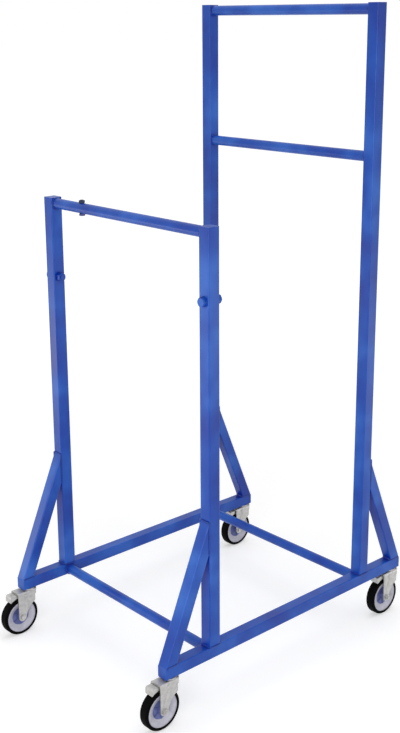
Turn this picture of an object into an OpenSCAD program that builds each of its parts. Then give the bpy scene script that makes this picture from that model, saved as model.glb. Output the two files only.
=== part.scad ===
// Rolling carton holder: a low front frame and a high rear frame of square
// posts and round rails, joined by two side base tubes with braced corners,
// on four swivel casters. Millimetres, +Z up, +X to the right, -Y to the front.
// The origin is at floor level, in the middle of the footprint.

/* [Posts] */
// Distance between the left and right posts, centre to centre
post_spacing_x = 572; // [420:1:900]
// Distance between the front and rear posts, centre to centre
post_spacing_y = 527; // [440:1:800]
// Height of the front posts above the base tubes, caps included
front_post_height = 983; // [700:1:1200]
// Height of the rear posts above the base tubes, caps included
rear_post_height = 1440; // [1200:1:1800]
// Side of the square post tube
post_side = 32; // [28:0.5:40]
// Wall of the post tube
post_wall = 2; // [1.5:0.1:2.6]
// Outer corner radius of the post tube
post_corner_r = 3; // [2.8:0.1:5]
// Thickness of the plates that close the posts
cap_t = 2; // [1:0.1:4]

/* [Rails] */
// Diameter of the round rails between the posts
rail_d = 25.4; // [20:0.1:28]
// Wall of the round rails and crossbars
rail_wall = 1.6; // [1:0.1:3]
// Distance from the top of the posts down to the rail below it
rail_setdown = 2; // [0:0.1:20]
// Distance from the high rail down to the middle rail, centre to centre
mid_rail_drop = 340; // [60:1:400]
// Diameter of the round crossbars between the base tubes
crossbar_d = 25.4; // [18:0.1:29]
// Distance of the crossbars below the middle of the base tubes
crossbar_drop = 2; // [0:0.1:2]

/* [Base tubes and braces] */
// Side of the square tube of the base and its braces
base_side = 30; // [26:0.5:36]
// Wall of the base tube
base_wall = 2; // [1.5:0.1:2.6]
// Outer corner radius of the base tube
base_corner_r = 3; // [2.8:0.1:5]
// Distance from the middle of a post to the end of its base tube
foot_length = 147.5; // [115:0.5:210]
// Height above the base tube at which the outer edge of a brace meets its post
brace_height = 314; // [240:1:400]

/* [Wheels] */
// Diameter of the wheels
wheel_d = 100; // [90:1:110]
// Width of the tyre
tyre_w = 24; // [20:0.5:30]
// Depth of the tyre from tread to rim
tyre_t = 8; // [7:0.5:12]
// Radius of the tyre's rounded shoulders
tyre_shoulder_r = 4; // [2:0.5:5]
// Width of the rim at its outer face
rim_w = 21; // [17:0.5:22]
// Radial width of the rim's flat outer face
rim_face = 5; // [3:0.5:8]
// Radial distance from the edge of the rim down its dished sides to the hub
rim_ring = 17.5; // [14:0.5:20]
// Width of the bead that locks the tyre on the rim
bead_w = 8; // [5:0.5:12]
// Height of that bead
bead_h = 2; // [1:0.1:3]
// Width of the moulded hub disc
hub_disc_w = 9; // [6:0.5:12]
// Radius of the hub's boss round the axle
hub_boss_r = 9.5; // [8:0.5:12]
// Number of ribs on each side of the hub disc
hub_ribs = 6; // [3:1:10]
// Thickness of a hub rib
hub_rib_t = 2; // [1:0.1:4]
// Height of a hub rib above the disc
hub_rib_h = 2.2; // [1:0.1:4]

/* [Casters] */
// Room between the top of the tread and the underside of the fork's crown
crown_gap = 15.2; // [14.5:0.1:28]
// Distance from the end of a base tube to the swivel axis below it
stem_inset = 21; // [18:0.5:40]
// Distance of the wheel axle behind the swivel axis
trail = 30; // [24:0.5:36]
// Thickness of the pressed fork plate
fork_t = 2.5; // [2:0.1:3]
// Gap between the fork legs and the tyre
fork_side_gap = 3; // [2:0.1:5]
// Outer radius of the fork's rounded shoulders
fork_shoulder_r = 5; // [3.5:0.1:7]
// Distance from the swivel axis to the rear edge of the fork
fork_back = 41; // [38:0.5:46]
// Distance from the swivel axis to the front edge of the fork's wide yoke
fork_front = 10; // [6:0.5:12]
// How far the crown's round front stands past the front corners of the legs
crown_rim = 1; // [0.5:0.1:3]
// Distance from the crown's top down to where the front edge starts to curve in
yoke_drop = 29; // [24:0.5:34]
// Radius of the rounded lower corner of the yoke
yoke_corner_r = 4; // [2:0.5:6]
// Radius of the hollow curve from the yoke down to the end of a leg
leg_curve_r = 52; // [40:1:80]
// Radius of the rounded lower end of a fork leg
fork_boss_r = 11; // [9:0.5:13]
// Height of the lip turned down at the rear of the crown
fork_lip_h = 5; // [4:0.1:6]
// Width of the pressed rib on a fork leg
fork_rib_w = 6; // [4:0.5:8]
// Height of that rib
fork_rib_h = 0.8; // [0.5:0.1:1.5]
// Diameter of the swivel stem
stem_d = 12; // [10:0.5:14]
// Diameter of the stem's flange
stem_flange_d = 32; // [28:0.5:34]
// Thickness of the stem's flange
stem_flange_t = 3; // [2:0.1:5]
// Diameter of the riveted head under the fork
stem_rivet_d = 18; // [16:0.5:20]
// Thickness of the riveted head under the fork
stem_rivet_t = 3; // [2:0.1:4]
// Width across the flats of the stem nut inside the base tube
stem_nut_af = 19; // [17:0.5:22]
// Height of the stem nut
stem_nut_h = 8; // [6:0.5:10]
// Diameter of the wheel axle
axle_d = 8; // [6:0.5:10]
// Length of the axle bolt past its nut
axle_end = 2.5; // [0.5:0.5:8]

/* [Brakes] */
// Width of a brake lever
lever_w = 24; // [16:0.5:26]
// Thickness of a brake lever
lever_t = 2.5; // [2:0.1:3]
// Diameter of the brake pivot pin
brake_pin_d = 5; // [4:0.5:5.5]
// Wall of the lever's eye round the pin
eye_wall = 3; // [2.8:0.1:3.5]
// Room between the lever's eye and the underside of the crown
eye_gap = 1.4; // [1:0.1:2.5]
// Room between the lever's eye and the stem's riveted head
eye_stem_gap = 4.1; // [1:0.1:6]
// Room between the lever and the lip of the crown above it
lip_gap = 1; // [0.6:0.1:1.5]
// Distance from the swivel axis to the rear of the pedal
pedal_back = 61; // [56:0.5:66]
// Outer radius of the bend between the pedal and its shoe
pedal_r = 5; // [3.5:0.5:7]
// Free travel between the shoe and the tread
shoe_gap = 6.5; // [4:0.1:8]

/* [Bolts] */
// Diameter of the cross bolts in the front posts
cross_bolt_d = 12; // [8:0.5:12]
// Thickness of the washers of the cross bolts
washer_t = 2.5; // [1:0.1:3]
// Distance of the left cross bolt below the low rail
left_bolt_drop = 184; // [60:1:400]
// Distance of the right cross bolt below the low rail
right_bolt_drop = 147; // [60:1:400]
// Length of the cross bolts past their nuts
cross_bolt_end = 2; // [0.5:0.5:20]
// Diameter of the bolt through the low rail
rail_bolt_d = 8; // [5:0.5:10]
// Distance of the rail bolt from the left post
rail_bolt_offset = 121; // [40:1:300]
// Length of the rail bolt past its nut
rail_bolt_end = 1; // [0.5:0.5:10]

/* [Fits] */
// Running clearance of an axle, stem or pin in its hole, on the radius
run_gap = 0.06; // [0.02:0.01:0.1]
// Clearance of a fixed bolt in its hole, on the radius
bolt_gap = 0.1; // [0.02:0.01:0.3]
// Clearance between faces that turn past each other
face_gap = 0.3; // [0.2:0.05:0.6]
// Clearance between round parts that are pressed together
seat_gap = 0.03; // [0.01:0.01:0.1]

/* [Hidden] */
$fn = 48;

// Colours
paint_blue = [0.17, 0.30, 0.66];
zinc = [0.73, 0.73, 0.75];
black_steel = [0.12, 0.12, 0.13];
tyre_black = [0.04, 0.04, 0.045];
rim_grey = [0.72, 0.72, 0.76];
hub_blue = [0.28, 0.33, 0.58];

// Sides of the stand
LEFT = -1;
RIGHT = 1;
FRONT = -1;
REAR = 1;

// Frame geometry, worked out from the sizes above
half_x = post_spacing_x / 2;
half_y = post_spacing_y / 2;
caster_height = wheel_d + crown_gap + fork_t + face_gap + stem_flange_t;
base_mid_z = caster_height + base_side / 2;
base_top_z = caster_height + base_side;
front_top_z = base_top_z + front_post_height;
rear_top_z = base_top_z + rear_post_height;
low_rail_z = front_top_z - rail_setdown - rail_d / 2;
high_rail_z = rear_top_z - rail_setdown - rail_d / 2;
mid_rail_z = high_rail_z - mid_rail_drop;
crossbar_z = base_mid_z - crossbar_drop;

// A brace runs from the top corner at the end of its base tube up to its post
base_end_y = half_y + foot_length;
post_face_y = half_y + post_side / 2;
brace_angle = atan(brace_height / (base_end_y - post_face_y));

// The casters: every wheel trails towards the front
wheel_r = wheel_d / 2;
stem_y = base_end_y - stem_inset;
axle_z = wheel_r;
flange_z = caster_height - stem_flange_t;
crown_z = flange_z - face_gap;
crown_under_z = crown_z - fork_t;
lip_low_z = crown_z - fork_lip_h;
fork_half_in = tyre_w / 2 + fork_side_gap;
fork_half_out = fork_half_in + fork_t;
crown_r = norm([fork_half_out, fork_front]) + crown_rim;
rim_r = wheel_r - tyre_t;
hub_disc_r = rim_r - rim_ring;
hub_half_w = fork_half_in - face_gap;
stem_chamfer = stem_d / 6;
stem_top_z = caster_height + base_wall + stem_nut_h + stem_chamfer;

// The brake lever, about its pivot in the fork
rivet_under_z = crown_under_z - face_gap - stem_rivet_t;
lever_eye_r = brake_pin_d / 2 + eye_wall;
pivot_y = -stem_rivet_d / 2 - lever_eye_r - eye_stem_gap;
pivot_z = crown_under_z - lever_eye_r - eye_gap;
shoe_r = wheel_r + shoe_gap;

// The footprint's middle lies between the front tyres and the rear ends
front_reach = stem_y + trail + wheel_r;
rear_reach = max(base_end_y, stem_y - trail + wheel_r);
shift_y = (front_reach - rear_reach) / 2;

// Standard proportions of hexagon bolts and nuts, washers and riveted pins
function head_af(d) = 1.6 * d;
function head_h(d) = 0.65 * d;
function nut_h(d) = 0.84 * d;
washer_r = cross_bolt_d;
pin_head_d = 1.6 * brake_pin_d;
pin_head_h = 0.3 * brake_pin_d;

// Cutting tools run past the surface by this much, and arcs that blend stay this far apart
over = 1;
blend_gap = 0.02;

// Point where a line from p touches the circle of radius r about c
function touch(p, c, r, side) =
    let (v = c - p, d = norm(v), a = atan2(v[1], v[0]), b = asin(r / d))
    p + sqrt(d * d - r * r) * [cos(a + side * b), sin(a + side * b)];

// Point where the circles of radius ra about a and rb about b cross, on one side of the line ab
function cross_point(a, ra, b, rb, side) =
    let (v = b - a, d = norm(v), x = (d * d + ra * ra - rb * rb) / (2 * d), h = sqrt(ra * ra - x * x))
    a + x * v / d + side * h * [-v[1], v[0]] / d;

// Point on the circle of radius r about c, on the way to p
function towards(c, p, r) = c + r * (p - c) / norm(p - c);

// Places the geometry of the stand so that the origin is under its middle
module on_floor() {
    translate([0, shift_y, 0])
        children();
}

// Square with true round corners
module round_square(side, r) {
    square([side - 2 * r, side], center = true);
    square([side, side - 2 * r], center = true);
    for (x = [-1, 1], y = [-1, 1])
        translate([x, y] * (side / 2 - r))
            circle(r, $fn = 32);
}

// Outline in the plane of a side frame, y to the rear and z up, made w wide along x
module side_prism(w) {
    rotate([90, 0, 90])
        translate([0, 0, -w / 2])
            linear_extrude(w)
                children();
}

// Square tube along z
module square_tube(side, wall, r, length) {
    linear_extrude(length)
        difference() {
            round_square(side, r);
            round_square(side - 2 * wall, r - wall);
        }
}

// Base tube of one side, with the holes for its caster stems
module base_tube(side_x) {
    reach = base_end_y - cap_t;
    on_floor()
        translate([side_x * half_x, 0, base_mid_z])
            difference() {
                translate([0, reach, 0])
                    rotate([90, 0, 0])
                        square_tube(base_side, base_wall, base_corner_r, 2 * reach);
                for (end = [FRONT, REAR])
                    translate([0, end * stem_y, -base_side])
                        cylinder(d = stem_d + 2 * bolt_gap, h = base_side);
            }
}

// Plate that closes one end of a base tube
module foot_cap(side_x, end) {
    on_floor()
        translate([side_x * half_x, end * (base_end_y - cap_t / 2) + cap_t / 2, base_mid_z])
            rotate([90, 0, 0])
                linear_extrude(cap_t)
                    round_square(base_side, base_corner_r);
}

// Brace, cut level on the base tube and upright against the outer face of its post
module brace(side_x, end) {
    foot = base_side / sin(brace_angle);
    length = brace_height / sin(brace_angle);
    on_floor()
        translate([side_x * half_x, 0, base_top_z])
            mirror([0, end == FRONT ? 1 : 0, 0])
                intersection() {
                    translate([0, base_end_y - foot / 2, 0])
                        rotate([90 - brace_angle, 0, 0])
                            translate([0, 0, -base_side])
                                square_tube(base_side, base_wall, base_corner_r, length + 3 * base_side);
                    translate([-base_side, post_face_y, 0])
                        cube([2 * base_side, foot_length, brace_height + base_side]);
                }
}

// Square post, open inside, standing on the base tube under its cap
module post(side_x, end, height) {
    on_floor()
        translate([side_x * half_x, end * half_y, base_top_z])
            square_tube(post_side, post_wall, post_corner_r, height - cap_t);
}

module post_cap(side_x, end, top_z) {
    on_floor()
        translate([side_x * half_x, end * half_y, top_z - cap_t])
            linear_extrude(cap_t)
                round_square(post_side, post_corner_r);
}

// Round tube across the stand
module cross_tube(d, length, y, z) {
    on_floor()
        translate([0, y, z])
            rotate([0, 90, 0])
                difference() {
                    cylinder(d = d, h = length, center = true);
                    cylinder(d = d - 2 * rail_wall, h = length + 2 * over, center = true);
                }
}

// Hexagon by its width across the flats, standing on z = 0, its corners chamfered at 30 degrees
module hexagon(af, h, both_ends) {
    flat_r = 0.48 * af;
    wide_r = af / 2 / cos(30) + over;
    drop = (wide_r - flat_r) * tan(30);
    foot = both_ends ? [[0, 0], [flat_r, 0], [wide_r, drop]] : [[0, 0], [wide_r, 0]];
    intersection() {
        cylinder(r = af / 2 / cos(30), h = h, $fn = 6);
        rotate_extrude()
            polygon(concat(foot, [[wide_r, h - drop], [flat_r, h], [0, h]]));
    }
}

module hex_bolt(d, length) {
    hexagon(head_af(d), head_h(d), false);
    translate([0, 0, -length])
        cylinder(d = d, h = length + head_h(d) / 2);
}

module hex_nut(d) {
    difference() {
        hexagon(head_af(d), nut_h(d), true);
        translate([0, 0, -over])
            cylinder(d = d + 2 * seat_gap, h = nut_h(d) + 2 * over);
    }
}

module washer() {
    difference() {
        cylinder(r = washer_r, h = washer_t);
        translate([0, 0, -over])
            cylinder(d = cross_bolt_d + 2 * bolt_gap, h = washer_t + 2 * over);
    }
}

// The cross bolts' own axes: z runs out of the post on the side of the bolt's head
module left_bolt_axis() {
    on_floor()
        translate([-half_x, -half_y, low_rail_z - left_bolt_drop])
            rotate([0, -90, 0])
                children();
}

module right_bolt_axis() {
    on_floor()
        translate([half_x, -half_y, low_rail_z - right_bolt_drop])
            rotate([90, 0, 0])
                children();
}

module bolt_hole() {
    cylinder(d = cross_bolt_d + 2 * bolt_gap, h = post_side + 2 * over, center = true);
}

module placed_bolt() {
    translate([0, 0, post_side / 2 + washer_t])
        hex_bolt(cross_bolt_d, post_side + 2 * washer_t + nut_h(cross_bolt_d) + cross_bolt_end);
}

module placed_washers() {
    translate([0, 0, post_side / 2])
        washer();
    translate([0, 0, -post_side / 2 - washer_t])
        washer();
}

module placed_nut() {
    translate([0, 0, -post_side / 2 - washer_t - nut_h(cross_bolt_d)])
        hex_nut(cross_bolt_d);
}

// Axis of the bolt through the low rail
module rail_bolt_axis() {
    on_floor()
        translate([rail_bolt_offset - half_x, -half_y, low_rail_z])
            children();
}

// Swivel axis of a caster
module caster(side_x, end) {
    on_floor()
        translate([side_x * half_x, end * stem_y, 0])
            children();
}

// Axle of a caster's wheel, with x along the axle
module on_axle() {
    translate([0, -trail, axle_z])
        children();
}

// Stem with its flange above the fork and its riveted head below
module stem() {
    difference() {
        union() {
            translate([0, 0, rivet_under_z])
                cylinder(d = stem_d, h = stem_top_z - rivet_under_z);
            translate([0, 0, flange_z])
                cylinder(d = stem_flange_d, h = stem_flange_t);
            translate([0, 0, rivet_under_z])
                cylinder(d = stem_rivet_d, h = stem_rivet_t);
        }
        translate([0, 0, stem_top_z - stem_chamfer])
            difference() {
                cylinder(d = stem_d + 2 * over, h = stem_chamfer + over);
                cylinder(d1 = stem_d, d2 = stem_d - 2 * stem_chamfer, h = stem_chamfer);
                translate([0, 0, stem_chamfer - over / 2])
                    cylinder(d = stem_d - 2 * stem_chamfer, h = 2 * over);
            }
    }
}

module stem_nut() {
    difference() {
        translate([0, 0, caster_height + base_wall])
            rotate([0, 0, 30])
                hexagon(stem_nut_af, stem_nut_h, true);
        cylinder(d = stem_d + 2 * seat_gap, h = base_top_z);
    }
}

// Section of the pressed fork: an upturned channel with round shoulders
module channel_outline() {
    low = axle_z - fork_boss_r - over;
    difference() {
        shoulder_outline(fork_half_out, crown_z, fork_shoulder_r, low);
        shoulder_outline(fork_half_in, crown_under_z, fork_shoulder_r - fork_t, low - over);
    }
}

module shoulder_outline(half_w, top, r, low) {
    translate([-half_w, low])
        square([2 * half_w, top - r - low]);
    translate([-half_w + r, low])
        square([2 * (half_w - r), top - low]);
    for (x = [-1, 1])
        translate([x * (half_w - r), top - r])
            circle(r, $fn = 32);
}

// Side view of the fork: a wide yoke under the crown, curving in to the rounded ends of its legs
module fork_side() {
    axle = [-trail, axle_z];
    corner = [fork_front - yoke_corner_r, crown_z - yoke_drop];
    hollow = cross_point(corner, leg_curve_r + yoke_corner_r + blend_gap,
        axle, leg_curve_r + fork_boss_r + blend_gap, 1);
    rear_top = [-fork_back, lip_low_z];
    nose = crown_r + over;
    difference() {
        union() {
            polygon([[-fork_back, crown_z], [nose, crown_z], [nose, crown_under_z],
                [fork_front, crown_under_z + fork_front - nose], [fork_front, corner[1]],
                towards(corner, hollow, yoke_corner_r), towards(axle, hollow, fork_boss_r), axle,
                touch(rear_top, axle, fork_boss_r, -1), rear_top]);
            translate(corner)
                circle(yoke_corner_r, $fn = 48);
            translate(axle)
                circle(fork_boss_r, $fn = 64);
        }
        translate(hollow)
            circle(leg_curve_r, $fn = 128);
    }
}

// Plan of the fork: round in front of the stem and straight to its rear edge
module fork_plan() {
    circle(crown_r, $fn = 64);
    translate([-fork_half_out, -fork_back])
        square([2 * fork_half_out, fork_back]);
}

// Hole through both legs of the fork, along x
module leg_hole(d) {
    rotate([0, 90, 0])
        cylinder(d = d + 2 * bolt_gap, h = 2 * (fork_half_out + fork_rib_h + over), center = true);
}

module fork() {
    difference() {
        union() {
            intersection() {
                rotate([90, 0, 0])
                    translate([0, 0, -crown_r - over])
                        linear_extrude(crown_r + fork_back + 2 * over)
                            channel_outline();
                side_prism(2 * (fork_half_out + over))
                    fork_side();
                linear_extrude(crown_z + over)
                    fork_plan();
            }
            // Lip between the legs at the rear
            translate([-fork_half_in - fork_t / 2, -fork_back, lip_low_z])
                cube([2 * fork_half_in + fork_t, fork_t, fork_lip_h - fork_t / 2]);
            // Pressed rib down the middle of each leg
            for (x = [-1, 1])
                translate([x * fork_half_out, 0, 0])
                    side_prism(2 * fork_rib_h)
                        fork_rib_side();
        }
        cylinder(d = stem_d + 2 * run_gap, h = caster_height);
        on_axle()
            leg_hole(axle_d);
        translate([0, pivot_y, pivot_z])
            leg_hole(brake_pin_d);
    }
}

// Outline of the pressed rib: a long bead from the yoke towards the axle
module fork_rib_side() {
    low = [-trail, axle_z + fork_boss_r + fork_rib_w];
    high = [(fork_front - fork_back) / 2, crown_z - fork_shoulder_r - 2 * fork_rib_w];
    strip(low, high, fork_rib_w);
    for (end = [low, high])
        translate(end)
            circle(fork_rib_w / 2, $fn = 32);
}

// Straight strip of width w between two points
module strip(a, b, w) {
    along = (b - a) / norm(b - a);
    across = [-along[1], along[0]] * w / 2;
    polygon([a + across, a - across, b - across, b + across]);
}

// Tyre, rim and hub are turned about the axle
module turned() {
    rotate([0, 90, 0])
        rotate_extrude($fn = 72)
            children();
}

module tyre() {
    turned()
        difference() {
            union() {
                translate([rim_r, -tyre_w / 2 + tyre_shoulder_r])
                    square([tyre_t, tyre_w - 2 * tyre_shoulder_r]);
                translate([rim_r, -tyre_w / 2])
                    square([tyre_t - tyre_shoulder_r, tyre_w]);
                for (z = [-1, 1])
                    translate([wheel_r - tyre_shoulder_r, z * (tyre_w / 2 - tyre_shoulder_r)])
                        circle(tyre_shoulder_r, $fn = 32);
            }
            // Groove that holds the rim's bead
            translate([rim_r - over, -bead_w / 2 - seat_gap])
                square([over + bead_h + seat_gap, bead_w + 2 * seat_gap]);
        }
}

// The rim is flat round its edge and dished down to the hub on both sides
module rim() {
    edge = rim_r - seat_gap;
    turned()
        union() {
            polygon([[hub_disc_r, -hub_disc_w / 2], [rim_r - rim_face, -rim_w / 2], [edge, -rim_w / 2],
                [edge, rim_w / 2], [rim_r - rim_face, rim_w / 2], [hub_disc_r, hub_disc_w / 2]]);
            translate([rim_r - bead_h, -bead_w / 2])
                square([2 * bead_h, bead_w]);
        }
}

module hub() {
    rib_foot = hub_boss_r - hub_rib_t / 2;
    difference() {
        union() {
            turned()
                union() {
                    translate([0, -hub_disc_w / 2])
                        square([hub_disc_r - seat_gap, hub_disc_w]);
                    translate([0, -hub_half_w])
                        square([hub_boss_r, 2 * hub_half_w]);
                }
            for (i = [0 : hub_ribs - 1])
                rotate([i * 360 / hub_ribs, 0, 0])
                    translate([-hub_disc_w / 2 - hub_rib_h, -hub_rib_t / 2, rib_foot])
                        cube([hub_disc_w + 2 * hub_rib_h, hub_rib_t, hub_disc_r - over - rib_foot]);
        }
        rotate([0, 90, 0])
            cylinder(d = axle_d + 2 * run_gap, h = 2 * (hub_half_w + over), center = true);
    }
}

// Axle bolt: its head is inboard, its nut outboard
module axle(side_x) {
    on_axle()
        rotate([0, -90 * side_x, 0])
            translate([0, 0, fork_half_out])
                hex_bolt(axle_d, 2 * fork_half_out + nut_h(axle_d) + axle_end);
}

module axle_nut(side_x) {
    on_axle()
        rotate([0, 90 * side_x, 0])
            translate([0, 0, fork_half_out])
                hex_nut(axle_d);
}

// Top and rear of the lever from the side, drawn in by inset: the arm dips under the crown's lip, and
// the pedal behind it bends down to the shoe over the tread
module lever_side(inset) {
    top = pivot_z + lever_eye_r - inset;
    rear = -pedal_back + inset;
    dip_z = lip_low_z - lip_gap - inset;
    dip_front = [fork_t + lip_gap - fork_back, dip_z];
    dip_rear = -fork_back - lip_gap;
    bend = [-pedal_back + pedal_r, pivot_z + lever_eye_r - pedal_r];
    pivot = [pivot_y, pivot_z];
    open_front = pivot_y + lever_eye_r + over;
    nose = inset > 0
        ? [[open_front, axle_z], [open_front, top]]
        : [[pivot_y, axle_z], pivot, touch(dip_front, pivot, lever_eye_r, 1)];
    polygon(concat(nose, [dip_front, [dip_rear, dip_z], [dip_rear - lever_t, top],
        [bend[0], top], bend, [rear, bend[1]], [rear, axle_z]]));
    translate(bend)
        circle(pedal_r - inset, $fn = 48);
}

// Outside of the lever from the side: cut round over the tread, with a full eye round its pin
module lever_outline() {
    difference() {
        lever_side(0);
        translate([-trail, axle_z])
            circle(shoe_r, $fn = 128);
    }
    translate([pivot_y, pivot_z])
        circle(lever_eye_r, $fn = 64);
}

// Pressed lever: an open channel with a cheek on each side
module brake_lever() {
    difference() {
        side_prism(lever_w)
            lever_outline();
        side_prism(lever_w - 2 * lever_t)
            lever_side(lever_t);
        translate([0, pivot_y, pivot_z])
            rotate([0, 90, 0])
                cylinder(d = brake_pin_d + 2 * run_gap, h = lever_w + 2 * over, center = true);
    }
}

module brake_pin() {
    translate([0, pivot_y, pivot_z])
        rotate([0, 90, 0]) {
            cylinder(d = brake_pin_d, h = 2 * fork_half_out + pin_head_h, center = true);
            for (z = [-1, 1])
                translate([0, 0, z * (fork_half_out + pin_head_h / 2)])
                    cylinder(d = pin_head_d, h = pin_head_h, center = true);
        }
}

// Side tubes
module base_tube_left() { color(paint_blue) base_tube(LEFT); }
module base_tube_right() { color(paint_blue) base_tube(RIGHT); }
module brace_front_left() { color(paint_blue) brace(LEFT, FRONT); }
module brace_front_right() { color(paint_blue) brace(RIGHT, FRONT); }
module brace_rear_left() { color(paint_blue) brace(LEFT, REAR); }
module brace_rear_right() { color(paint_blue) brace(RIGHT, REAR); }

// Posts, with the cross bolt holes in the front pair
module post_front_left() {
    color(paint_blue)
        difference() {
            post(LEFT, FRONT, front_post_height);
            left_bolt_axis() bolt_hole();
        }
}
module post_front_right() {
    color(paint_blue)
        difference() {
            post(RIGHT, FRONT, front_post_height);
            right_bolt_axis() bolt_hole();
        }
}
module post_rear_left() { color(paint_blue) post(LEFT, REAR, rear_post_height); }
module post_rear_right() { color(paint_blue) post(RIGHT, REAR, rear_post_height); }
module post_caps() {
    color(paint_blue)
        for (side_x = [LEFT, RIGHT]) {
            post_cap(side_x, FRONT, front_top_z);
            post_cap(side_x, REAR, rear_top_z);
        }
}
module foot_caps() {
    color(paint_blue)
        for (side_x = [LEFT, RIGHT], end = [FRONT, REAR])
            foot_cap(side_x, end);
}

// Rails and crossbars
module low_rail() {
    color(paint_blue)
        difference() {
            cross_tube(rail_d, post_spacing_x - post_side, -half_y, low_rail_z);
            rail_bolt_axis()
                cylinder(d = rail_bolt_d + 2 * bolt_gap, h = rail_d + 2 * over, center = true);
        }
}
module mid_rail() { color(paint_blue) cross_tube(rail_d, post_spacing_x - post_side, half_y, mid_rail_z); }
module high_rail() { color(paint_blue) cross_tube(rail_d, post_spacing_x - post_side, half_y, high_rail_z); }
module crossbar_front() {
    color(paint_blue) cross_tube(crossbar_d, post_spacing_x - base_side, -half_y, crossbar_z);
}
module crossbar_rear() {
    color(paint_blue) cross_tube(crossbar_d, post_spacing_x - base_side, half_y, crossbar_z);
}

// Bolts
module cross_bolts() {
    color(paint_blue) {
        left_bolt_axis() placed_bolt();
        right_bolt_axis() placed_bolt();
    }
}
module cross_bolt_washers() {
    color(paint_blue) {
        left_bolt_axis() placed_washers();
        right_bolt_axis() placed_washers();
    }
}
module cross_bolt_nuts() {
    color(paint_blue) {
        left_bolt_axis() placed_nut();
        right_bolt_axis() placed_nut();
    }
}
module rail_bolt() {
    color(black_steel)
        rail_bolt_axis()
            rotate([180, 0, 0])
                translate([0, 0, rail_d / 2])
                    hex_bolt(rail_bolt_d, rail_d + nut_h(rail_bolt_d) + rail_bolt_end);
}
module rail_bolt_nut() {
    color(black_steel)
        rail_bolt_axis()
            translate([0, 0, rail_d / 2])
                hex_nut(rail_bolt_d);
}
module stem_nuts() {
    color(zinc)
        for (side_x = [LEFT, RIGHT], end = [FRONT, REAR])
            caster(side_x, end) stem_nut();
}

// Caster pieces
module stem_front_left() { color(zinc) caster(LEFT, FRONT) stem(); }
module fork_front_left() { color(zinc) caster(LEFT, FRONT) fork(); }
module tyre_front_left() { color(tyre_black) caster(LEFT, FRONT) on_axle() tyre(); }
module rim_front_left() { color(rim_grey) caster(LEFT, FRONT) on_axle() rim(); }
module hub_front_left() { color(hub_blue) caster(LEFT, FRONT) on_axle() hub(); }
module axle_front_left() { color(zinc) caster(LEFT, FRONT) axle(LEFT); }
module axle_nut_front_left() { color(zinc) caster(LEFT, FRONT) axle_nut(LEFT); }

module stem_front_right() { color(zinc) caster(RIGHT, FRONT) stem(); }
module fork_front_right() { color(zinc) caster(RIGHT, FRONT) fork(); }
module tyre_front_right() { color(tyre_black) caster(RIGHT, FRONT) on_axle() tyre(); }
module rim_front_right() { color(rim_grey) caster(RIGHT, FRONT) on_axle() rim(); }
module hub_front_right() { color(hub_blue) caster(RIGHT, FRONT) on_axle() hub(); }
module axle_front_right() { color(zinc) caster(RIGHT, FRONT) axle(RIGHT); }
module axle_nut_front_right() { color(zinc) caster(RIGHT, FRONT) axle_nut(RIGHT); }

module stem_rear_left() { color(zinc) caster(LEFT, REAR) stem(); }
module fork_rear_left() { color(zinc) caster(LEFT, REAR) fork(); }
module tyre_rear_left() { color(tyre_black) caster(LEFT, REAR) on_axle() tyre(); }
module rim_rear_left() { color(rim_grey) caster(LEFT, REAR) on_axle() rim(); }
module hub_rear_left() { color(hub_blue) caster(LEFT, REAR) on_axle() hub(); }
module axle_rear_left() { color(zinc) caster(LEFT, REAR) axle(LEFT); }
module axle_nut_rear_left() { color(zinc) caster(LEFT, REAR) axle_nut(LEFT); }

module stem_rear_right() { color(zinc) caster(RIGHT, REAR) stem(); }
module fork_rear_right() { color(zinc) caster(RIGHT, REAR) fork(); }
module tyre_rear_right() { color(tyre_black) caster(RIGHT, REAR) on_axle() tyre(); }
module rim_rear_right() { color(rim_grey) caster(RIGHT, REAR) on_axle() rim(); }
module hub_rear_right() { color(hub_blue) caster(RIGHT, REAR) on_axle() hub(); }
module axle_rear_right() { color(zinc) caster(RIGHT, REAR) axle(RIGHT); }
module axle_nut_rear_right() { color(zinc) caster(RIGHT, REAR) axle_nut(RIGHT); }

// Brakes
module brake_lever_front_left() { color(zinc) caster(LEFT, FRONT) brake_lever(); }
module brake_pin_front_left() { color(zinc) caster(LEFT, FRONT) brake_pin(); }
module brake_lever_front_right() { color(zinc) caster(RIGHT, FRONT) brake_lever(); }
module brake_pin_front_right() { color(zinc) caster(RIGHT, FRONT) brake_pin(); }
module brake_lever_rear_left() { color(zinc) caster(LEFT, REAR) brake_lever(); }
module brake_pin_rear_left() { color(zinc) caster(LEFT, REAR) brake_pin(); }
module brake_lever_rear_right() { color(zinc) caster(RIGHT, REAR) brake_lever(); }
module brake_pin_rear_right() { color(zinc) caster(RIGHT, REAR) brake_pin(); }

base_tube_left();
base_tube_right();
brace_front_left();
brace_front_right();
brace_rear_left();
brace_rear_right();
post_front_left();
post_front_right();
post_rear_left();
post_rear_right();
post_caps();
foot_caps();
low_rail();
mid_rail();
high_rail();
crossbar_front();
crossbar_rear();
cross_bolts();
cross_bolt_washers();
cross_bolt_nuts();
rail_bolt();
rail_bolt_nut();
stem_nuts();
stem_front_left();
fork_front_left();
tyre_front_left();
rim_front_left();
hub_front_left();
axle_front_left();
axle_nut_front_left();
stem_front_right();
fork_front_right();
tyre_front_right();
rim_front_right();
hub_front_right();
axle_front_right();
axle_nut_front_right();
stem_rear_left();
fork_rear_left();
tyre_rear_left();
rim_rear_left();
hub_rear_left();
axle_rear_left();
axle_nut_rear_left();
stem_rear_right();
fork_rear_right();
tyre_rear_right();
rim_rear_right();
hub_rear_right();
axle_rear_right();
axle_nut_rear_right();
brake_lever_front_left();
brake_pin_front_left();
brake_lever_front_right();
brake_pin_front_right();
brake_lever_rear_left();
brake_pin_rear_left();
brake_lever_rear_right();
brake_pin_rear_right();
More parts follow.
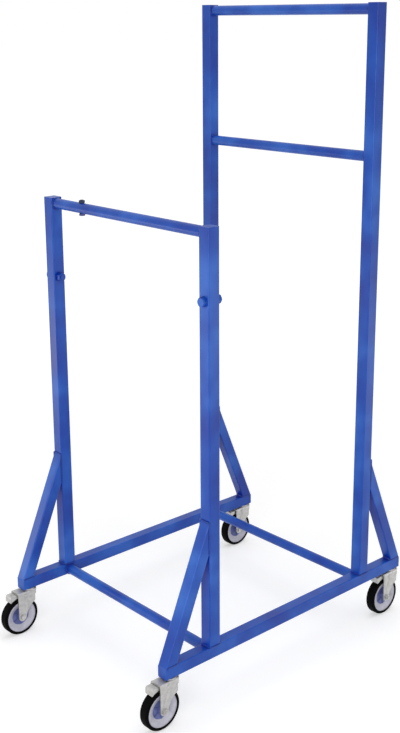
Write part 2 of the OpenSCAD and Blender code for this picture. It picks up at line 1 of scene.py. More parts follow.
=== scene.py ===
"""Looks of a rolling carton holder: a powder-coated tube frame on zinc-plated swivel casters.

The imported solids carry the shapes. This script gives every solid its finish, adds the weld beads, bolt
threads, pedal ribs and tyre rings, and sets up the studio and the camera. All lengths are in metres
unless a name ends in _mm or _px.
"""

import logging
import math
from dataclasses import dataclass
from enum import Enum
from typing import Iterator, Mapping, Optional, Sequence, Union

import bpy
from mathutils import Matrix, Vector


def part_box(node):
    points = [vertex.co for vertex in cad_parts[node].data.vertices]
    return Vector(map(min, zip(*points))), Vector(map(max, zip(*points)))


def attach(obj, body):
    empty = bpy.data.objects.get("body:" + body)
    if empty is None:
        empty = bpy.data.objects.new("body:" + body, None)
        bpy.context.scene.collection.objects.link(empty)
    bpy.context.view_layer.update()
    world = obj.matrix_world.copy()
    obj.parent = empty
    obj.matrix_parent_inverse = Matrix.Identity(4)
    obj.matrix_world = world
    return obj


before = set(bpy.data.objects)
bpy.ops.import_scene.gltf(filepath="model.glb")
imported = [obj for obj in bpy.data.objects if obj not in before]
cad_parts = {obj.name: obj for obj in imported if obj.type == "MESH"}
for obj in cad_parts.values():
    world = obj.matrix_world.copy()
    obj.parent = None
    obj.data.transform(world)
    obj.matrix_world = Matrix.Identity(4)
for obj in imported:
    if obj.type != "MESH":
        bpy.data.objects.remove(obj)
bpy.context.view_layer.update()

MM = 0.001
LOG = logging.getLogger("carton_holder")

X_AXIS = Vector((1, 0, 0))
Y_AXIS = Vector((0, 1, 0))
Z_AXIS = Vector((0, 0, 1))

# Where a node that mixes colours keeps its two colours and its result
MIX_FIRST = 6
MIX_SECOND = 7
MIX_RESULT = 2

Colour = tuple[float, float, float, float]
Face = tuple[int, ...]
Material = bpy.types.Material
Piece = bpy.types.Object
Tree = bpy.types.NodeTree
Node = bpy.types.Node
Socket = bpy.types.NodeSocket
Settings = Mapping[Union[str, int], object]
Links = Mapping[Union[str, int], Socket]


class Side(Enum):
    """The two sides of the stand, with the sign of their X."""

    LEFT = -1
    RIGHT = 1


class End(Enum):
    """The two ends of the stand, with the sign of their Y."""

    FRONT = -1
    REAR = 1


def linear(hex_colour: str) -> Colour:
    """Turns an sRGB hex colour into the linear values that shaders take.

    Args:
        hex_colour: The colour as "#rrggbb".

    Returns:
        Linear red, green and blue, and an alpha of 1.
    """
    # The curve of sRGB is straight near black and a power of 2.4 above
    parts = [int(hex_colour[i : i + 2], 16) / 255 for i in (1, 3, 5)]
    red, green, blue = (c / 12.92 if c <= 0.04045 else ((c + 0.055) / 1.055) ** 2.4 for c in parts)
    return red, green, blue, 1.0


WHITE = linear("#FFFFFF")


def per_metre(size_mm: float) -> float:
    """Returns the pattern scale at which one feature of the pattern is size_mm across."""
    return 1000.0 / size_mm


def set_up(
    tree: Tree, node: Node, settings: Optional[Settings] = None, links: Optional[Links] = None
) -> None:
    """Gives a node its settings and what feeds it.

    Args:
        tree: The node tree that the node is in.
        node: The node.
        settings: Values by name, for the node's own options or, failing that, for its input sockets. A
            socket without a name of its own goes by its number.
        links: Output sockets of other nodes, by the name or number of the input that each feeds.
    """
    for name, value in (settings or {}).items():
        if isinstance(name, str) and hasattr(node, name):
            setattr(node, name, value)
        else:
            node.inputs[name].default_value = value
    for name, source in (links or {}).items():
        tree.links.new(source, node.inputs[name])


def add_node(
    tree: Tree, kind: str, settings: Optional[Settings] = None, links: Optional[Links] = None
) -> Node:
    """Adds one node to a tree, with its settings and what feeds it.

    Args:
        tree: The node tree that gets the node.
        kind: The program's name for the type of node.
        settings: Values by name, as set_up takes them.
        links: Output sockets of other nodes, as set_up takes them.

    Returns:
        The new node.
    """
    node = tree.nodes.new(kind)
    set_up(tree, node, settings, links)
    return node


def set_stops(node: Node, stops: Mapping[float, str]) -> None:
    """Gives a colour ramp its stops.

    Args:
        node: The colour ramp node.
        stops: The hex colour of each stop by its position, in order.
    """
    ramp = node.color_ramp
    while len(ramp.elements) < len(stops):
        ramp.elements.new(0.5)
    for element, (place, colour) in zip(ramp.elements, stops.items()):
        element.position = place
        element.color = linear(colour)


def empty_tree(owner: Union[Material, bpy.types.World]) -> Tree:
    """Gives a material or a world a node tree without nodes.

    Args:
        owner: The material or world.

    Returns:
        The tree.
    """
    owner.use_nodes = True
    owner.node_tree.nodes.clear()
    return owner.node_tree


def new_material(name: str) -> tuple[Material, Tree, Node, Socket]:
    """Starts a material with one Principled shader.

    Args:
        name: The material's name.

    Returns:
        The material, its node tree, the shader, and the place on the piece, for patterns to follow.
    """
    material = bpy.data.materials.new(name)
    tree = empty_tree(material)
    place = add_node(tree, "ShaderNodeTexCoord").outputs["Object"]
    shader = add_node(tree, "ShaderNodeBsdfPrincipled")
    add_node(tree, "ShaderNodeOutputMaterial", links={"Surface": shader.outputs["BSDF"]})
    return material, tree, shader, place


@dataclass(frozen=True)
class PowderCoat:
    """Polyester powder coat, sprayed on steel tube and baked.

    The baked powder levels out to a glossy skin with a faint orange peel, and it lies a little thicker
    and deeper in colour in some places, which shows as slow cloudy changes of tone along a tube. The
    inner corners at the joints are darkened to deep blue as painted shade.

    Attributes:
        name: The material's name.
        colour: Colour of most of the coat.
        deep: Colour where the coat is thick.
        pale: Colour where it is thin.
        cloud_mm: Size of one change of tone.
        corner_shade: Painted shade: the colour that the coat is darkened to in an inner corner.
        corner_shade_mm: How far out from a corner the painted shade reaches.
        roughness: Roughness of the skin.
        gloss: Strength of its reflections.
        peel_mm: Size of one bump of the orange peel.
        peel_height_mm: Height of the bumps.
    """

    name: str = "blue polyester powder coat on steel tube"
    colour: str = "#1148A6"
    deep: str = "#073494"
    pale: str = "#2B60BA"
    cloud_mm: float = 120.0
    # Painted shade: the deep blue of the inner corners, and how far out from them it reaches
    corner_shade: str = "#02168C"
    corner_shade_mm: float = 48.0
    roughness: float = 0.36
    gloss: float = 0.35
    peel_mm: float = 1.6
    peel_height_mm: float = 0.03

    def build(self) -> Material:
        """Builds the material.

        Returns:
            The finished material.
        """
        material, tree, shader, place = new_material(self.name)
        cloud = add_node(
            tree, "ShaderNodeTexNoise",
            {"Scale": per_metre(self.cloud_mm), "Detail": 2.0, "Roughness": 0.5}, {"Vector": place},
        )
        tone = add_node(tree, "ShaderNodeValToRGB", links={"Fac": cloud.outputs["Fac"]})
        set_stops(tone, {0.32: self.deep, 0.50: self.colour, 0.68: self.pale})
        # Painted shade: an inner corner, which its surroundings leave less open, is darkened towards deep
        # blue
        openness = add_node(tree, "ShaderNodeAmbientOcclusion", {"samples": 8, "Distance": self.corner_shade_mm * MM})
        painted_corner_shade = add_node(
            tree, "ShaderNodeMapRange",
            {"From Min": 0.42, "From Max": 0.82, "To Min": 1.0, "To Max": 0.0},
            {"Value": openness.outputs["AO"]},
        )
        coat = add_node(
            tree, "ShaderNodeMix", {"data_type": "RGBA", MIX_SECOND: linear(self.corner_shade)},
            {"Factor": painted_corner_shade.outputs["Result"], MIX_FIRST: tone.outputs["Color"]},
        )
        # Where the coat is thin it has baked a little duller
        thick = self.roughness - 0.04
        thin = self.roughness + 0.05
        haze = add_node(
            tree, "ShaderNodeMapRange",
            {"From Min": 0.3, "From Max": 0.7, "To Min": thick, "To Max": thin},
            {"Value": cloud.outputs["Fac"]},
        )
        peel = add_node(
            tree, "ShaderNodeTexNoise",
            {"Scale": per_metre(self.peel_mm), "Detail": 1.0, "Roughness": 0.4}, {"Vector": place},
        )
        relief = add_node(
            tree, "ShaderNodeBump", {"Strength": 0.35, "Distance": self.peel_height_mm * MM},
            {"Height": peel.outputs["Fac"]},
        )
        set_up(
            tree, shader, {"IOR": 1.48, "Specular IOR Level": self.gloss},
            {
                "Base Color": coat.outputs[MIX_RESULT],
                "Roughness": haze.outputs["Result"],
                "Normal": relief.outputs["Normal"],
            },
        )
        return material


# The weld beads are coated a darker blue than the tubes, as painted shade at the joints
PAINTED_SHADE_WELD_COAT = PowderCoat(
    name="blue polyester powder coat on welds",
    colour="#0A3486",
    deep="#062A74",
    pale="#10419A",
    peel_mm=1.1,
    cloud_mm=30.0,
)


@dataclass(frozen=True)
class ZincPlate:
    """Low-carbon steel sheet, pressed to shape and zinc plated.

    The plating is a bright, slightly clouded grey metal. The rolled sheet under it leaves fine streaks,
    and handling leaves soft dull patches.

    Attributes:
        name: The material's name.
        colour: Colour of the bright plating.
        dull: Colour of the dull patches.
        roughness: Roughness of the plating.
        patch_mm: Size of one patch.
        streak_mm: Width of one streak.
        streak_length_mm: Length of one streak.
        streak_height_mm: Height of the streaks.
    """

    name: str = "zinc-plated pressed steel"
    colour: str = "#C0BFBD"
    dull: str = "#B3B2B1"
    roughness: float = 0.55
    patch_mm: float = 9.0
    # Real rolling streaks are finer, and are drawn this coarse to show
    streak_mm: float = 0.8
    streak_length_mm: float = 14.0
    streak_height_mm: float = 0.02

    def build(self) -> Material:
        """Builds the material.

        Returns:
            The finished material.
        """
        material, tree, shader, place = new_material(self.name)
        # Streaks run up the legs: the pattern is drawn out along Z
        drawn_out = add_node(
            tree, "ShaderNodeMapping", {"Scale": (1.0, 1.0, self.streak_mm / self.streak_length_mm)},
            {"Vector": place},
        )
        streak = add_node(
            tree, "ShaderNodeTexNoise", {"Scale": per_metre(self.streak_mm), "Detail": 2.0},
            {"Vector": drawn_out.outputs["Vector"]},
        )
        patch = add_node(
            tree, "ShaderNodeTexNoise",
            {"Scale": per_metre(self.patch_mm), "Detail": 3.0, "Roughness": 0.6}, {"Vector": place},
        )
        tone = add_node(tree, "ShaderNodeValToRGB", links={"Fac": patch.outputs["Fac"]})
        set_stops(tone, {0.35: self.dull, 0.62: self.colour})
        # The dull patches are the rougher ones
        dull = self.roughness + 0.1
        bright = self.roughness - 0.06
        haze = add_node(
            tree, "ShaderNodeMapRange",
            {"From Min": 0.3, "From Max": 0.7, "To Min": dull, "To Max": bright},
            {"Value": patch.outputs["Fac"]},
        )
        relief = add_node(
            tree, "ShaderNodeBump", {"Strength": 0.15, "Distance": self.streak_height_mm * MM},
            {"Height": streak.outputs["Fac"]},
        )
        set_up(
            tree, shader, {"Metallic": 1.0},
            {
                "Base Color": tone.outputs["Color"],
                "Roughness": haze.outputs["Result"],
                "Normal": relief.outputs["Normal"],
            },
        )
        return material


@dataclass(frozen=True)
class BlackOxide:
    """Steel bolt or nut, heat treated and blackened in hot salts, then oiled.

    The oxide is a thin near-black skin with a cold blue cast, part metal and part matt, and it is rubbed
    to grey metal in small spots.

    Attributes:
        name: The material's name.
        colour: Colour of the oxide.
        rubbed: Colour of the rubbed spots.
        roughness: Roughness of the skin.
        spot_mm: Size of one spot.
        spot_height_mm: Height of the spots, which stand proud and so are rubbed.
    """

    name: str = "black oxide steel"
    colour: str = "#222A3E"
    rubbed: str = "#4A5268"
    roughness: float = 0.46
    spot_mm: float = 3.0
    spot_height_mm: float = 0.03

    def build(self) -> Material:
        """Builds the material.

        Returns:
            The finished material.
        """
        material, tree, shader, place = new_material(self.name)
        spots = add_node(
            tree, "ShaderNodeTexNoise",
            {"Scale": per_metre(self.spot_mm), "Detail": 4.0, "Roughness": 0.6}, {"Vector": place},
        )
        tone = add_node(tree, "ShaderNodeValToRGB", links={"Fac": spots.outputs["Fac"]})
        set_stops(tone, {0.55: self.colour, 0.78: self.rubbed})
        relief = add_node(
            tree, "ShaderNodeBump", {"Strength": 0.3, "Distance": self.spot_height_mm * MM},
            {"Height": spots.outputs["Fac"]},
        )
        set_up(
            tree, shader, {"Metallic": 0.7, "Roughness": self.roughness},
            {"Base Color": tone.outputs["Color"], "Normal": relief.outputs["Normal"]},
        )
        return material


# Steel that is tempered in air and not in salts turns a lighter blue violet
BLUED_STEEL = BlackOxide(name="blued steel", colour="#3C4170", rubbed="#5E6390")


@dataclass(frozen=True)
class MouldedSkin:
    """Skin of a part as its mould leaves it: marks in a second colour over a fine grain.

    The values given here are those of polypropylene, injection moulded in a lightly sparked mould. It
    has an even satin skin with a very fine grain, and flow marks a shade lighter than the rest.

    Attributes:
        name: The material's name.
        colour: Colour of most of the skin.
        marks: Colour of its marks.
        stops: Where the two colours stand on the pattern of marks, from 0 to 1.
        mark_mm: Size of one mark.
        mark_detail: How finely the marks break up.
        mark_edge: How rough the edges of the marks are, from 0 to 1.
        mark_swirl: How far the marks are drawn into swirls.
        grain_mm: Size of one grain.
        grain_detail: How finely the grain breaks up.
        grain_height_mm: Height of the grain.
        grain_strength: How much of that height shows.
        roughness: Roughness of the skin.
        ior: Its index of refraction.
        gloss: Strength of its reflections.
    """

    name: str
    colour: str
    marks: str
    stops: tuple[float, float] = (0.35, 0.70)
    mark_mm: float = 12.0
    mark_detail: float = 2.0
    mark_edge: float = 0.5
    mark_swirl: float = 0.6
    # The real grain is finer, and is drawn this coarse to show
    grain_mm: float = 0.7
    grain_detail: float = 1.0
    grain_height_mm: float = 0.03
    grain_strength: float = 0.25
    roughness: float = 0.42
    ior: float = 1.49
    gloss: float = 0.5

    def build(self) -> Material:
        """Builds the material.

        Returns:
            The finished material.
        """
        material, tree, shader, place = new_material(self.name)
        marks = add_node(
            tree, "ShaderNodeTexNoise",
            {
                "Scale": per_metre(self.mark_mm),
                "Detail": self.mark_detail,
                "Roughness": self.mark_edge,
                "Distortion": self.mark_swirl,
            },
            {"Vector": place},
        )
        tone = add_node(tree, "ShaderNodeValToRGB", links={"Fac": marks.outputs["Fac"]})
        set_stops(tone, dict(zip(self.stops, (self.colour, self.marks))))
        grain = add_node(
            tree, "ShaderNodeTexNoise",
            {"Scale": per_metre(self.grain_mm), "Detail": self.grain_detail}, {"Vector": place},
        )
        relief = add_node(
            tree, "ShaderNodeBump",
            {"Strength": self.grain_strength, "Distance": self.grain_height_mm * MM},
            {"Height": grain.outputs["Fac"]},
        )
        set_up(
            tree, shader,
            {"Roughness": self.roughness, "IOR": self.ior, "Specular IOR Level": self.gloss},
            {"Base Color": tone.outputs["Color"], "Normal": relief.outputs["Normal"]},
        )
        return material


RIM_PLASTIC = MouldedSkin(name="pale grey moulded polypropylene", colour="#AFAEBB", marks="#BDBCC7")
HUB_PLASTIC = MouldedSkin(name="blue moulded polypropylene", colour="#4E588C", marks="#5E679C")

# Carbon-black rubber, moulded on the rim, is near black with a dull skin. Rolling greys it a little with
# floor dust in broad patches.
TYRE_RUBBER = MouldedSkin(
    name="moulded black rubber",
    colour="#020202",
    marks="#080809",
    stops=(0.45, 0.80),
    mark_mm=16.0,
    mark_detail=5.0,
    mark_edge=0.6,
    mark_swirl=0.0,
    # The real grain is finer, and is drawn this coarse to show
    grain_mm=0.9,
    grain_detail=2.0,
    grain_height_mm=0.05,
    grain_strength=0.4,
    roughness=0.66,
    ior=1.52,
    gloss=0.04,
)


@dataclass
class Finishes:
    """The finished materials of the stand.

    Attributes:
        paint: Powder coat of the frame and its cross bolts.
        weld: The same kind of coat on the weld beads, in a darker blue as painted shade.
        zinc: Plating of the casters' steel parts and of the stem nuts.
        black: Oxide of the rail bolt's nut.
        blued: Blueing of the rail bolt.
        rubber: Tyres.
        rim: Pale plastic of the rims.
        hub: Blue plastic of the hubs.
    """

    paint: Material
    weld: Material
    zinc: Material
    black: Material
    blued: Material
    rubber: Material
    rim: Material
    hub: Material

    @classmethod
    def build(cls) -> "Finishes":
        """Builds all the materials.

        Returns:
            The finishes.
        """
        return cls(
            paint=PowderCoat().build(),
            weld=PAINTED_SHADE_WELD_COAT.build(),
            zinc=ZincPlate().build(),
            black=BlackOxide().build(),
            blued=BLUED_STEEL.build(),
            rubber=TYRE_RUBBER.build(),
            rim=RIM_PLASTIC.build(),
            hub=HUB_PLASTIC.build(),
        )


def dress(node: str, material: Material) -> None:
    """Puts one material on a CAD node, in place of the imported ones.

    Args:
        node: The node's name.
        material: Its finish.
    """
    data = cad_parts[node].data
    data.materials.clear()
    data.materials.append(material)
    LOG.info("%s: %s", node, material.name)


def add_piece(
    name: str,
    points: Sequence[Vector],
    faces: Sequence[Face],
    material: Material,
    body: str,
) -> Piece:
    """Adds one smooth-shaded mesh that rides on a CAD body.

    Args:
        name: The piece's name.
        points: Its vertices, in the frame that the solids share.
        faces: Its faces, as indices of the points.
        material: Its finish.
        body: The CAD body that it moves with.

    Returns:
        The new object.
    """
    mesh = bpy.data.meshes.new(name)
    mesh.from_pydata([tuple(p) for p in points], [], faces)
    mesh.update()
    mesh.polygons.foreach_set("use_smooth", [True] * len(mesh.polygons))
    mesh.materials.append(material)
    piece = bpy.data.objects.new(name, mesh)
    bpy.context.scene.collection.objects.link(piece)
    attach(piece, body)
    LOG.info("%s: %s", name, material.name)
    return piece


def skin(rings: int, sides: int, closed: bool, start: int = 0) -> list[Face]:
    """Joins rings of points into a skin without gaps.

    Args:
        rings: How many rings follow one another.
        sides: How many points each ring has.
        closed: Whether the last ring joins the first one. If not, a face closes each end.
        start: Index of the first point.

    Returns:
        The faces, as indices of the points.
    """
    faces: list[Face] = []
    for i in range(rings if closed else rings - 1):
        near = start + i * sides
        far = start + (i + 1) % rings * sides
        for k in range(sides):
            beside = (k + 1) % sides
            faces.append((near + k, near + beside, far + beside, far + k))
    if not closed:
        last = start + (rings - 1) * sides
        faces.append(tuple(start + k for k in reversed(range(sides))))
        faces.append(tuple(last + k for k in range(sides)))
    return faces


def circle(centre: Vector, u: Vector, v: Vector, radius: float, count: int = 40) -> list[Vector]:
    """Sets out points round a circle.

    Args:
        centre: The circle's centre.
        u: One unit vector in its plane.
        v: The other unit vector in its plane.
        radius: Its radius.
        count: How many points.

    Returns:
        The points.
    """
    turns = (2 * math.pi * i / count for i in range(count))
    return [centre + u * (radius * math.cos(t)) + v * (radius * math.sin(t)) for t in turns]


def round_rectangle(
    centre: Vector, u: Vector, v: Vector, half_u: float, half_v: float, radius: float, arc: int = 5
) -> list[Vector]:
    """Sets out points round a rectangle with rounded corners.

    Args:
        centre: The rectangle's centre.
        u: Unit vector along its first side.
        v: Unit vector along its second side.
        half_u: Half its length along u.
        half_v: Half its length along v.
        radius: Radius of its corners.
        arc: Steps round each corner.

    Returns:
        The points.
    """
    points: list[Vector] = []
    for quarter, (su, sv) in enumerate(((1, 1), (-1, 1), (-1, -1), (1, -1))):
        middle = centre + u * (su * (half_u - radius)) + v * (sv * (half_v - radius))
        for i in range(arc + 1):
            turn = (quarter + i / arc) * math.pi / 2
            points.append(middle + u * (radius * math.cos(turn)) + v * (radius * math.sin(turn)))
    return points


def box_centre(node: str) -> Vector:
    """Returns the middle of a CAD node's box."""
    low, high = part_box(node)
    return (low + high) / 2


def stand_corners() -> Iterator[tuple[Side, End, str]]:
    """Goes round the corners of the stand.

    Returns:
        The side, the end and the tail of the nodes' names, corner by corner.
    """
    for end in End:
        for side in Side:
            yield side, end, f"{end.name.lower()}_{side.name.lower()}"


@dataclass(frozen=True)
class WeldBead:
    """A painted weld bead along a seam, with the ripples that each dab of the torch leaves.

    Attributes:
        width: How wide the bead is.
        ripple: Distance from one ripple to the next.
        depth: How far the ripples swell the bead, as a share of its radius.
        sides: Number of faces round the bead.
        steps: Points along each ripple.
        wander: Slow changes of width, each with its share of the radius and its length in ripples.
        tip: Radius at a bead's free end, as a share of the full one.
        tip_steps: Points over which a free end grows to the full radius.
    """

    width: float = 4.6 * MM
    ripple: float = 3.1 * MM
    depth: float = 0.16
    sides: int = 10
    steps: int = 4
    wander: tuple[tuple[float, float], ...] = ((0.05, 4.3), (0.03, 1.9))
    tip: float = 0.35
    tip_steps: int = 4

    def swell(self, distance: float) -> float:
        """Works out the bead's radius at a place along the seam.

        Args:
            distance: How far along the seam the place is.

        Returns:
            The radius.
        """
        dab = abs(math.sin(math.pi * distance / self.ripple))
        drift = sum(share * math.sin(distance / (length * self.ripple)) for share, length in self.wander)
        return self.width / 2 * (1 - self.depth + self.depth * dab + drift)

    def lay(
        self,
        name: str,
        seam: Sequence[Vector],
        normal: Vector,
        material: Material,
        closed: bool = True,
    ) -> Piece:
        """Lays the bead along a flat seam of the frame.

        Args:
            name: The piece's name.
            seam: Points along the seam.
            normal: Normal of the plane that the seam lies in.
            material: The finish.
            closed: Whether the seam runs back to its first point.

        Returns:
            The bead's object.
        """
        middles = self.subdivide(seam, closed)
        count = len(middles)
        points: list[Vector] = []
        travelled = 0.0
        for i, middle in enumerate(middles):
            before = middles[i - 1] if i or closed else middle
            after = middles[(i + 1) % count] if i + 1 < count or closed else middle
            across = (after - before).normalized().cross(normal).normalized()
            if i:
                travelled += (middle - before).length
            radius = self.swell(travelled)
            if not closed:
                from_end = min(i, count - 1 - i)
                radius *= min(1.0, self.tip + (1 - self.tip) * from_end / self.tip_steps)
            points += circle(middle, across, normal, radius, self.sides)
        return add_piece(name, points, skin(count, self.sides, closed), material, "frame")

    def subdivide(self, seam: Sequence[Vector], closed: bool) -> list[Vector]:
        """Sets out the points along the seam at which the bead changes its width.

        Args:
            seam: The seam's corner points.
            closed: Whether it runs back to its first point.

        Returns:
            The points.
        """
        step = self.ripple / self.steps
        result: list[Vector] = []
        pairs = zip(seam, list(seam[1:]) + [seam[0]]) if closed else zip(seam, seam[1:])
        for a, b in pairs:
            parts = max(1, round((b - a).length / step))
            result.extend(a.lerp(b, i / parts) for i in range(parts))
        if not closed:
            result.append(seam[-1])
        return result


@dataclass
class TubeFrame:
    """The welded frame: base tubes, braces, posts, caps, rails and crossbars.

    Attributes:
        foot_length: Distance from a post's axis to the end of its base tube.
        brace_height: Height above the base tube at which a brace's outer edge meets the post.
        corner: Outer corner radius of the square tubes.
        cap: Thickness of the plates that close the tubes.
        bead: The weld bead at most joints.
        fillet: The heavier bead in the sharp inner corner at a brace's foot.
        seam: The fine bead that is left round a cap after grinding.
        proud: How far a bead's middle stands off the tube, as a share of its width.
        flush: How far it lies under a face that it is ground flush with, as a share of its width.
        clear: How far it keeps from the end of a base tube, as a share of its width.
        sunk: How far a seam's middle lies inside the tube's faces, as a share of its width.
    """

    foot_length: float = 147.5 * MM
    brace_height: float = 314 * MM
    corner: float = 3 * MM
    cap: float = 2 * MM
    bead: WeldBead = WeldBead()
    fillet: WeldBead = WeldBead(width=7.5 * MM, ripple=3.6 * MM)
    seam: WeldBead = WeldBead(width=1.1 * MM, ripple=4.0 * MM, depth=0.35, sides=6)
    proud: float = 0.15
    flush: float = 0.55
    clear: float = 0.62
    sunk: float = 0.22

    def dress(self, finishes: Finishes) -> None:
        """Paints the tubes and lays the weld beads.

        Args:
            finishes: The finished materials.
        """
        groups = ("base_tube", "brace", "post", "foot_caps", "low_rail", "mid_rail", "high_rail", "crossbar")
        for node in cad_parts:
            if node.startswith(groups):
                dress(node, finishes.paint)
        beads = self.weld_round_tubes(finishes.weld)
        for side, end, tail in stand_corners():
            beads += self.weld_post(tail, finishes)
            beads += self.weld_brace(side, end, tail, finishes)
        LOG.info("laid %d weld beads and seams", len(beads))

    def weld_round_tubes(self, coat: Material) -> list[Piece]:
        """Welds both ends of each rail and crossbar.

        Args:
            coat: The finish of the beads.

        Returns:
            The beads.
        """
        beads: list[Piece] = []
        proud = self.bead.width * self.proud
        half_way = box_centre("base_tube_left").y
        for node in ("low_rail", "mid_rail", "high_rail", "crossbar_front", "crossbar_rear"):
            low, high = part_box(node)
            middle = (low + high) / 2
            radius = (high.z - low.z) / 2 + proud
            # A bead at the head of a post is ground flush with the cap
            post = "post_rear_left" if middle.y > half_way else "post_front_left"
            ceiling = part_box(post)[1].z + self.cap - self.bead.width * self.flush
            for side in Side:
                face = high.x if side is Side.RIGHT else low.x
                centre = Vector((face - side.value * proud, middle.y, middle.z))
                ring = circle(centre, Y_AXIS, Z_AXIS, radius)
                seam = [Vector((p.x, p.y, min(p.z, ceiling))) for p in ring]
                beads.append(self.bead.lay(f"weld_{node}_{side.name.lower()}", seam, X_AXIS, coat))
        return beads

    def weld_post(self, tail: str, finishes: Finishes) -> list[Piece]:
        """Welds a post to its base tube and its cap to the post.

        Args:
            tail: The tail of the names of this corner's nodes.
            finishes: The finished materials.

        Returns:
            The bead and the seam.
        """
        low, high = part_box(f"post_{tail}")
        half = (high.x - low.x) / 2
        middle = (low + high) / 2
        foot = Vector((middle.x, middle.y, low.z + self.bead.width * self.proud))
        around_foot = round_rectangle(foot, X_AXIS, Y_AXIS, half, half, self.corner)
        top = Vector((middle.x, middle.y, high.z))
        inset = half - self.seam.width * self.sunk
        around_top = round_rectangle(top, X_AXIS, Y_AXIS, inset, inset, self.corner)
        return [
            self.bead.lay(f"weld_foot_{tail}", around_foot, Z_AXIS, finishes.weld),
            self.seam.lay(f"seam_cap_{tail}", around_top, Z_AXIS, finishes.paint),
        ]

    def weld_brace(self, side: Side, end: End, tail: str, finishes: Finishes) -> list[Piece]:
        """Welds a brace to its post and to its base tube, and the plate in the end of the base tube.

        Args:
            side: The side of the stand.
            end: The end of the stand.
            tail: The tail of the names of this corner's nodes.
            finishes: The finished materials.

        Returns:
            The beads and the seam.
        """
        post_low, post_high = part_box(f"post_{tail}")
        half_post = (post_high.x - post_low.x) / 2
        post = (post_low + post_high) / 2
        base_low, base_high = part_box(f"base_tube_{side.name.lower()}")
        half_base = (base_high.z - base_low.z) / 2
        out = Y_AXIS * end.value
        slope = math.atan2(self.brace_height, self.foot_length - half_post)
        proud = self.bead.width * self.proud

        half_cut = half_base / math.cos(slope)
        top = Vector((post.x, post.y, base_high.z + self.brace_height - half_cut)) + out * (half_post + proud)
        around_top = round_rectangle(top, X_AXIS, Z_AXIS, half_base, half_cut, self.corner)

        # The bead round the foot stays just inside the plane of the base tube's end
        edge = self.foot_length - self.bead.width * self.clear
        heel = self.foot_length - 2 * half_base / math.sin(slope)
        on_base = Vector((post.x, post.y, base_high.z + proud))
        foot = on_base + out * ((edge + heel) / 2)
        around_foot = round_rectangle(
            foot, X_AXIS, Y_AXIS, half_base - proud, (edge - heel) / 2, self.corner
        )
        across = X_AXIS * (half_base - self.corner)
        inner = on_base + out * (heel - proud)

        plate = Vector((post.x, post.y, base_high.z - half_base)) + out * (self.foot_length - self.cap)
        inset = half_base - self.seam.width * self.sunk
        around_plate = round_rectangle(plate, X_AXIS, Z_AXIS, inset, inset, self.corner)
        return [
            self.bead.lay(f"weld_brace_top_{tail}", around_top, Y_AXIS, finishes.weld),
            self.bead.lay(f"weld_brace_foot_{tail}", around_foot, Z_AXIS, finishes.weld),
            self.fillet.lay(
                f"weld_brace_heel_{tail}", [inner - across, inner + across], Z_AXIS, finishes.weld, False
            ),
            self.seam.lay(f"seam_foot_cap_{tail}", around_plate, Y_AXIS, finishes.paint),
        ]


@dataclass(frozen=True)
class BoltThread:
    """The thread that shows on the end of a bolt, past its nut.

    Attributes:
        radius: Radius of the shank.
        length: How much of the shank shows.
        pitch: Distance from one turn to the next.
        rise: Height of the crest over the shank, as a share of the pitch.
        root: How deep the thread's foot lies in the shank, as a share of that height.
        flank: Half the width of the foot, as a share of the pitch.
        sides: Steps in each turn.
        run_in: Steps over which the crest rises at either end.
    """

    radius: float
    length: float
    pitch: float
    rise: float = 0.2
    root: float = 0.15
    flank: float = 0.32
    sides: int = 24
    run_in: int = 6

    def wind(
        self, name: str, tip: Vector, out: Vector, material: Material, body: str, slot: str
    ) -> Piece:
        """Winds the thread on a bolt.

        Args:
            name: The piece's name.
            tip: The middle of the bolt's end face.
            out: Unit vector along the bolt, out of its end.
            material: The bolt's finish.
            body: The CAD body that it rides on.
            slot: Not used.

        Returns:
            The thread's object.
        """
        u = out.orthogonal().normalized()
        v = out.cross(u)
        rise = self.pitch * self.rise
        root = -rise * self.root
        half = self.pitch * self.flank
        run = self.length - 2 * half
        steps = max(self.sides, round(self.sides * run / self.pitch))
        points: list[Vector] = []
        for i in range(steps + 1):
            turn = 2 * math.pi * i / self.sides
            along = half + run * i / steps
            ray = u * math.cos(turn) + v * math.sin(turn)
            crest = rise * min(1.0, i / self.run_in, (steps - i) / self.run_in)
            profile = ((root, -half), (crest, 0.0), (root, half))
            points += [tip - out * (along + shift) + ray * (self.radius + lift) for lift, shift in profile]
        corners = len(profile)
        faces: list[Face] = []
        for near in range(0, corners * steps, corners):
            far = near + corners
            for k in range(corners):
                beside = (k + 1) % corners
                faces.append((near + k, far + k, far + beside, near + beside))
        faces += [(0, 1, 2), (far + 2, far + 1, far)]
        return add_piece(name, points, faces, material, body)


